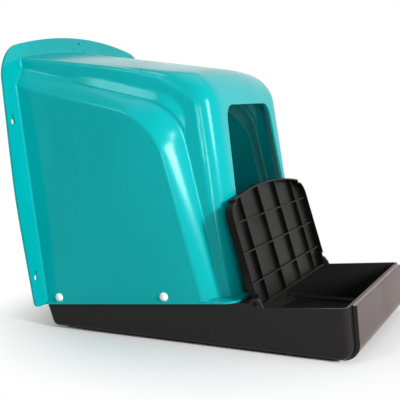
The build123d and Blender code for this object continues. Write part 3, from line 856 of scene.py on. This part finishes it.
def rivet_mesh(name, hood, rivet, side, depth):
    """Push rivet turned about its axis: tip, shank, flat underside, upright rim and a dome
    whose height falls with a power of the distance from the axis."""
    turn = np.radians(np.linspace(0, 360, RIVET_SIDES + 1))
    out = np.linspace(1, 0, DOME_STEPS + 1)
    chamfer = rivet.shank * CHAMFER
    dome = rivet.rim + (rivet.dome - rivet.rim) * (1 - out ** DOME_POWER)
    radius = np.concatenate((
        (0, rivet.shank - chamfer, rivet.shank, rivet.shank), (rivet.head, rivet.head), rivet.head * out
    ))
    level = np.concatenate((
        (-rivet.reach, -rivet.reach, chamfer - rivet.reach, 0), (0, rivet.rim * RIM_STRAIGHT), dome
    ))
    outward = np.array((side * math.cos(hood.tilt), 0.0, -math.sin(hood.tilt)))
    upright = np.array((side * math.sin(hood.tilt), 0.0, math.cos(hood.tilt)))
    ahead = np.array((0.0, 1.0, 0.0))
    seat = np.array((side * hood.half, depth, 0.0)) + rivet.height * upright
    ring = np.cos(turn)[:, None] * ahead + np.sin(turn)[:, None] * upright
    points = seat + radius[:, None, None] * ring + level[:, None, None] * outward
    work = Patchwork()
    work.grid(stand(points))
    return work.build(name, (stand(seat + outward * rivet.dome), outward))


class NESTBOX_OT_rivets(bpy.types.Operator):
    """Builds the four push rivets with their domed white caps"""

    bl_idname = "nestbox.rivets"
    bl_label = "Push rivets"

    def execute(self, context):
        rivet = context.scene.nest_rivet
        material = cap_plastic(context.scene.nest_finish)
        for name, side in SIDES:
            for place in PLACES:
                depth = getattr(rivet, place)
                label = f"rivet_cap_{name}_{place}"
                piece = rivet_mesh(label, context.scene.nest_hood, rivet, side, depth)
                finish_piece(piece, material, "box", (f"rivet_{name}_{place}",))
        return {"FINISHED"}


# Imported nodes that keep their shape


class NESTBOX_OT_tray(bpy.types.Operator):
    """Dresses the base tub, the tray's front panel and the lid"""

    bl_idname = "nestbox.tray"
    bl_label = "Tub, front and lid"

    def execute(self, context):
        finish = context.scene.nest_finish
        # One black plastic in two colours: the tub's lighter as painted light, the lid's darker as
        # painted shade.
        dress_node("base_tub", satin_plastic("tub_satin_painted_light", finish, finish.black, specular=0.10))
        dress_node("tray_lid", satin_plastic("lid_satin_painted_shade", finish, finish.lid, specular=0.08))
        dress_node("tray_front_panel", front_plastic(finish))
        return {"FINISHED"}


class NESTBOX_OT_nest(bpy.types.Operator):
    """Dresses the nest mat and the rivets' clips"""

    bl_idname = "nestbox.nest"
    bl_label = "Nest mat and clips"

    def execute(self, context):
        finish = context.scene.nest_finish
        dress_node("nest_mat", mat_plastic(finish))
        clip = cap_plastic(finish)
        for name, _ in SIDES:
            for place in PLACES:
                dress_node(f"rivet_clip_{name}_{place}", clip)
        return {"FINISHED"}


# Finishes

RELIEF_DEPTH = 0.0002  # of grain and scratches


def joined(tree, value, socket):
    """Sets an input, or links it where the value comes from another node."""
    if hasattr(value, "is_output"):
        tree.links.new(value, socket)
    else:
        socket.default_value = value


def ramp(tree, factor, low, high, to_low=0.0, to_high=1.0):
    """Maps the stretch from low to high smoothly onto another stretch."""
    node = tree.nodes.new("ShaderNodeMapRange")
    node.interpolation_type = "SMOOTHSTEP"
    for name, value in (
        ("Value", factor), ("From Min", low), ("From Max", high), ("To Min", to_low), ("To Max", to_high)
    ):
        joined(tree, value, node.inputs[name])
    return node.outputs["Result"]


def calculate(tree, operation, first, second):
    """A sum, product or the like of two values."""
    node = tree.nodes.new("ShaderNodeMath")
    node.operation = operation
    joined(tree, first, node.inputs[0])
    joined(tree, second, node.inputs[1])
    return node.outputs["Value"]


def mix_colour(tree, factor, first, second):
    """Goes from the first colour to the second as the factor goes from 0 to 1."""
    node = tree.nodes.new("ShaderNodeMix")
    node.data_type = "RGBA"
    joined(tree, factor, node.inputs["Factor"])
    colours = [socket for socket in node.inputs if socket.type == "RGBA"]
    joined(tree, first, colours[0])
    joined(tree, second, colours[1])
    return [socket for socket in node.outputs if socket.type == "RGBA"][0]


def noise(tree, vector, scale, detail, roughness=0.5, distortion=0.0):
    """Cloudy noise, with about as many clouds to the metre as the scale says."""
    node = tree.nodes.new("ShaderNodeTexNoise")
    node.inputs["Scale"].default_value = scale
    node.inputs["Detail"].default_value = detail
    node.inputs["Roughness"].default_value = roughness
    node.inputs["Distortion"].default_value = distortion
    tree.links.new(vector, node.inputs["Vector"])
    return node.outputs["Fac"]


def stretched(tree, vector, scale):
    """Coordinates for a pattern that is finer along one way than along another."""
    node = tree.nodes.new("ShaderNodeMapping")
    node.inputs["Scale"].default_value = scale
    tree.links.new(vector, node.inputs["Vector"])
    return node.outputs["Vector"]


def new_group(name, colours, values, outputs):
    """An empty node group with named colour and value inputs and named outputs."""
    tree = bpy.data.node_groups.new(name, "ShaderNodeTree")
    for label in colours:
        tree.interface.new_socket(name=label, in_out="INPUT", socket_type="NodeSocketColor")
    for label in values:
        tree.interface.new_socket(name=label, in_out="INPUT", socket_type="NodeSocketFloat")
    for label in outputs:
        kind = "NodeSocketColor" if label == "Color" else "NodeSocketFloat"
        tree.interface.new_socket(name=label, in_out="OUTPUT", socket_type=kind)
    return tree, tree.nodes.new("NodeGroupInput").outputs, tree.nodes.new("NodeGroupOutput").inputs


def moulded_skin():
    """Group for everything moulded: slow flow of the melt and rubbed patches in the colour and
    the roughness, fine grain of the tool and hairline scratches in the height."""
    tree, given, out = new_group(
        "moulded_skin", ("Base", "Flow", "Rubbed"),
        ("Rubbed Share", "Smooth", "Rough", "Grain", "Scratch"), ("Color", "Roughness", "Height"),
    )
    place = tree.nodes.new("ShaderNodeTexCoord").outputs["Object"]
    upward = stretched(tree, place, scale=(5.0, 5.0, 2.0))
    drift = noise(tree, upward, scale=1.6, detail=4.0, roughness=0.55, distortion=0.8)
    flow = ramp(tree, drift, low=0.32, high=0.68)
    spots = noise(tree, place, scale=14.0, detail=5.0, roughness=0.62)
    patches = ramp(tree, spots, low=0.52, high=0.74)
    base = mix_colour(tree, flow, given["Base"], given["Flow"])
    rubbed = calculate(tree, "MULTIPLY", patches, given["Rubbed Share"])
    tree.links.new(mix_colour(tree, rubbed, base, given["Rubbed"]), out["Color"])
    worn = calculate(tree, "MAXIMUM", patches, flow)
    rough = ramp(tree, worn, low=0.0, high=1.0, to_low=given["Smooth"], to_high=given["Rough"])
    tree.links.new(rough, out["Roughness"])
    pores = noise(tree, place, scale=1400.0, detail=2.0, roughness=0.6)
    grain = calculate(tree, "MULTIPLY", pores, given["Grain"])
    across = stretched(tree, place, scale=(9.0, 60.0, 420.0))
    lines = noise(tree, across, scale=1.0, detail=2.0, distortion=0.4)
    few = ramp(tree, noise(tree, place, scale=22.0, detail=2.0), low=0.56, high=0.66)
    hairline = calculate(tree, "MULTIPLY", ramp(tree, lines, low=0.66, high=0.74), few)
    scratch = calculate(tree, "MULTIPLY", hairline, given["Scratch"])
    tree.links.new(calculate(tree, "SUBTRACT", grain, scratch), out["Height"])
    return tree


def settled_dust():
    """Group for fine dust: where the surface faces up, in cloudy patches."""
    tree, given, out = new_group("settled_dust", ("Base", "Dust"), ("Amount",), ("Color",))
    facing = tree.nodes.new("ShaderNodeSeparateXYZ")
    shape = tree.nodes.new("ShaderNodeNewGeometry")
    tree.links.new(shape.outputs["Normal"], facing.inputs["Vector"])
    place = tree.nodes.new("ShaderNodeTexCoord").outputs["Object"]
    drifts = noise(tree, place, scale=38.0, detail=6.0, roughness=0.7)
    clouds = ramp(tree, drifts, low=0.38, high=0.8)
    upward = ramp(tree, facing.outputs["Z"], low=0.55, high=1.0)
    lying = calculate(tree, "MULTIPLY", upward, clouds)
    cover = calculate(tree, "MULTIPLY", lying, given["Amount"])
    tree.links.new(mix_colour(tree, cover, given["Base"], given["Dust"]), out["Color"])
    return tree


def place_group(tree, build, **values):
    """Puts a group into a material, built at its first use, and sets or links its inputs."""
    node = tree.nodes.new("ShaderNodeGroup")
    node.node_tree = bpy.data.node_groups.get(build.__name__) or build()
    for label, value in values.items():
        joined(tree, value, node.inputs[label.replace("_", " ")])
    return node.outputs


def plastic(name, skin, dust, relief, **fixed):
    """A moulded plastic: skin and dust give the colour, the skin the roughness and the relief,
    and fixed values are set on the shader's own sockets."""
    found = bpy.data.materials.get(name)
    if found:
        return found
    material = bpy.data.materials.new(name)
    material.use_nodes = True
    tree = material.node_tree
    shader = tree.nodes["Principled BSDF"]
    surface = place_group(tree, moulded_skin, **skin)
    dusty = place_group(tree, settled_dust, Base=surface["Color"], **dust)
    tree.links.new(dusty["Color"], shader.inputs["Base Color"])
    tree.links.new(surface["Roughness"], shader.inputs["Roughness"])
    bump = tree.nodes.new("ShaderNodeBump")
    bump.inputs["Strength"].default_value = relief
    bump.inputs["Distance"].default_value = RELIEF_DEPTH
    tree.links.new(surface["Height"], bump.inputs["Height"])
    tree.links.new(bump.outputs["Normal"], shader.inputs["Normal"])
    for label, value in fixed.items():
        shader.inputs[label.replace("_", " ")].default_value = value
    return material


def hood_plastic(finish):
    """Glossy teal plastic: slow flow marks, hairline scratches, a breath of dust on top."""
    skin = {
        "Base": finish.teal, "Flow": finish.teal_deep, "Rubbed": finish.dust, "Rubbed_Share": 0.0,
        "Smooth": 0.16, "Rough": 0.21, "Grain": 0.0, "Scratch": 1.0,
    }
    dust = {"Dust": finish.dust, "Amount": 0.04}
    tint = {"Specular_IOR_Level": 0.20, "Specular_Tint": (0.55, 1.0, 1.0, 1.0)}
    return plastic("hood_gloss", skin, dust, relief=0.08, **tint)


def satin_plastic(name, finish, base, specular, **bloom):
    """Satin black plastic: fine tool grain, rubbed patches, dust where it faces up."""
    skin = {
        "Base": base, "Flow": base, "Rubbed": finish.black_worn, "Rubbed_Share": 0.4,
        "Smooth": 0.34, "Rough": 0.42, "Grain": 1.0, "Scratch": 0.3,
    }
    dust = {"Dust": finish.dust, "Amount": 0.03}
    return plastic(name, skin, dust, relief=0.2, Specular_IOR_Level=specular, **bloom)


def front_plastic(finish):
    """Satin plastic of the tray's front: black seen head on, a warm grey bloom along its face."""
    bloom = {"Sheen_Weight": 0.72, "Sheen_Roughness": 0.3, "Sheen_Tint": finish.bloom}
    return satin_plastic("front_satin", finish, finish.slab, specular=0.14, **bloom)


def cap_plastic(finish):
    """Smooth white plastic with a faint rubbed tone."""
    skin = {
        "Base": finish.white, "Flow": finish.white, "Rubbed": finish.dust, "Rubbed_Share": 0.10,
        "Smooth": 0.22, "Rough": 0.34, "Grain": 0.2, "Scratch": 0.3,
    }
    dust = {"Dust": finish.dust, "Amount": 0.05}
    return plastic("cap_white", skin, dust, relief=0.06, Specular_IOR_Level=0.5)


def mat_plastic(finish):
    """Matt dark plastic of the nest mat, grained and a little dusty."""
    skin = {
        "Base": finish.mat, "Flow": finish.black, "Rubbed": finish.black_worn, "Rubbed_Share": 0.5,
        "Smooth": 0.55, "Rough": 0.70, "Grain": 1.0, "Scratch": 0.0,
    }
    dust = {"Dust": finish.dust, "Amount": 0.10}
    return plastic("mat_matt", skin, dust, relief=0.4, Specular_IOR_Level=0.2)


# Studio

FLOOR_LINES = 9
AIM = (0.0, 0.0, 0.16)  # middle of the box, where the lamps point
SENSOR = 36.0  # width, in millimetres


def soft_box(name, place, width, height, power):
    """Area lamp at a place, turned to the middle of the box."""
    data = bpy.data.lights.new(name, "AREA")
    data.shape = "RECTANGLE"
    data.size = width
    data.size_y = height
    data.energy = power
    lamp = bpy.data.objects.new(name, data)
    bpy.context.scene.collection.objects.link(lamp)
    way = np.array(AIM) - np.array(place)
    lamp.location = place
    lamp.rotation_euler = (
        math.atan2(math.hypot(way[0], way[1]), -way[2]), 0, math.atan2(way[1], way[0]) - math.pi / 2
    )


def light_is_seen(tree):
    """1 for rays that show the background: from the camera, a reflection or through glass."""
    path = tree.nodes.new("ShaderNodeLightPath")
    seen = path.outputs["Is Camera Ray"]
    for name in ("Is Glossy Ray", "Is Transmission Ray"):
        seen = calculate(tree, "MAXIMUM", seen, path.outputs[name])
    return seen


def white_room(stage):
    """World that is white to look at and lights the object with a plain ambient level."""
    world = bpy.data.worlds.new("white_room")
    bpy.context.scene.world = world
    world.use_nodes = True
    tree = world.node_tree
    back = tree.nodes["Background"]
    back.inputs["Color"].default_value = (1, 1, 1, 1)
    level = tree.nodes.new("ShaderNodeMapRange")
    level.inputs["To Min"].default_value = stage.ambient
    level.inputs["To Max"].default_value = 1.0
    tree.links.new(light_is_seen(tree), level.inputs["Value"])
    tree.links.new(level.outputs["Result"], back.inputs["Strength"])


def floor_paper(stage):
    """Pale paper that takes the shadow near the object and goes over into plain white."""
    material = bpy.data.materials.new("floor_paper")
    material.use_nodes = True
    tree = material.node_tree
    paper = tree.nodes["Principled BSDF"]
    paper.inputs["Base Color"].default_value = (0.93, 0.93, 0.93, 1)
    paper.inputs["Roughness"].default_value = 0.9
    paper.inputs["Specular IOR Level"].default_value = 0.0
    white = tree.nodes.new("ShaderNodeEmission")
    far = tree.nodes.new("ShaderNodeVectorMath")
    far.operation = "LENGTH"
    place = tree.nodes.new("ShaderNodeTexCoord")
    tree.links.new(place.outputs["Object"], far.inputs[0])
    away = ramp(tree, far.outputs["Value"], stage.paper_near, stage.paper_far)
    seen = calculate(tree, "MULTIPLY", away, light_is_seen(tree))
    mix = tree.nodes.new("ShaderNodeMixShader")
    tree.links.new(seen, mix.inputs["Fac"])
    tree.links.new(paper.outputs["BSDF"], mix.inputs[1])
    tree.links.new(white.outputs["Emission"], mix.inputs[2])
    tree.links.new(mix.outputs["Shader"], tree.nodes["Material Output"].inputs["Surface"])
    return material


class NESTBOX_OT_stage(bpy.types.Operator):
    """Sets up the floor, the soft studio light and the camera"""

    bl_idname = "nestbox.stage"
    bl_label = "Studio"

    def execute(self, context):
        scene = context.scene
        stage = scene.nest_stage
        work = Patchwork()
        edge = np.linspace(-stage.floor / 2, stage.floor / 2, FLOOR_LINES)
        across, along = np.meshgrid(edge, edge)
        work.grid(np.stack((across, along, np.full_like(across, -stage.floor_drop)), axis=-1))
        floor = work.build("floor", ((0, 0, 0), (0, 0, 1)))
        floor.data.materials.append(floor_paper(stage))
        white_room(stage)
        soft_box("key_light", (-0.75, -1.80, 0.89), width=0.34, height=0.57, power=44)
        soft_box("edge_light", (-1.86, -1.04, 0.48), width=0.18, height=0.36, power=6)
        soft_box("side_light", (-1.15, 0.49, 1.46), width=0.34, height=0.34, power=4.5)
        soft_box("top_light", (0.1, -0.1, 1.8), width=1.2, height=1.2, power=5)
        camera = bpy.data.objects.new("camera", bpy.data.cameras.new("camera"))
        scene.collection.objects.link(camera)
        camera.location = stage.camera
        camera.rotation_euler = (math.pi / 2 + stage.pitch, 0, stage.heading)
        camera.data.lens = stage.lens
        camera.data.sensor_width = SENSOR
        camera.data.clip_start = 0.01
        scene.camera = camera
        scene.view_settings.view_transform = "Standard"
        return {"FINISHED"}


class NESTBOX_PT_panel(bpy.types.Panel):
    """Lists the steps of the build and the sizes"""

    bl_label = "Nest box"
    bl_idname = "NESTBOX_PT_panel"
    bl_space_type = "VIEW_3D"
    bl_region_type = "UI"
    bl_category = "Nest box"

    def draw(self, context):
        for step in STEPS:
            self.layout.operator(step.bl_idname)
        for name in SETTINGS:
            group = getattr(context.scene, name)
            box = self.layout.box()
            box.label(text=name.replace("_", " ").capitalize())
            for key in group.__annotations__:
                box.prop(group, key)


STEPS = (NESTBOX_OT_hood, NESTBOX_OT_rivets, NESTBOX_OT_tray, NESTBOX_OT_nest, NESTBOX_OT_stage)
SETTINGS = {
    "nest_hood": NestHoodSizes,
    "nest_flange": NestFlangeSizes,
    "nest_rivet": NestRivetSizes,
    "nest_finish": NestFinish,
    "nest_stage": NestStage,
}


def register():
    for group in SETTINGS.values():
        bpy.utils.register_class(group)
    for step in STEPS:
        bpy.utils.register_class(step)
    bpy.utils.register_class(NESTBOX_PT_panel)
    for name, group in SETTINGS.items():
        setattr(bpy.types.Scene, name, bpy.props.PointerProperty(type=group))


def unregister():
    for name in SETTINGS:
        delattr(bpy.types.Scene, name)
    for group in (NESTBOX_PT_panel, *STEPS, *SETTINGS.values()):
        bpy.utils.unregister_class(group)


def main():
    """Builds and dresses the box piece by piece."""
    register()
    bpy.ops.nestbox.hood()
    bpy.ops.nestbox.rivets()
    bpy.ops.nestbox.tray()
    bpy.ops.nestbox.nest()
    bpy.ops.nestbox.stage()


if __name__ == "__main__":
    main()
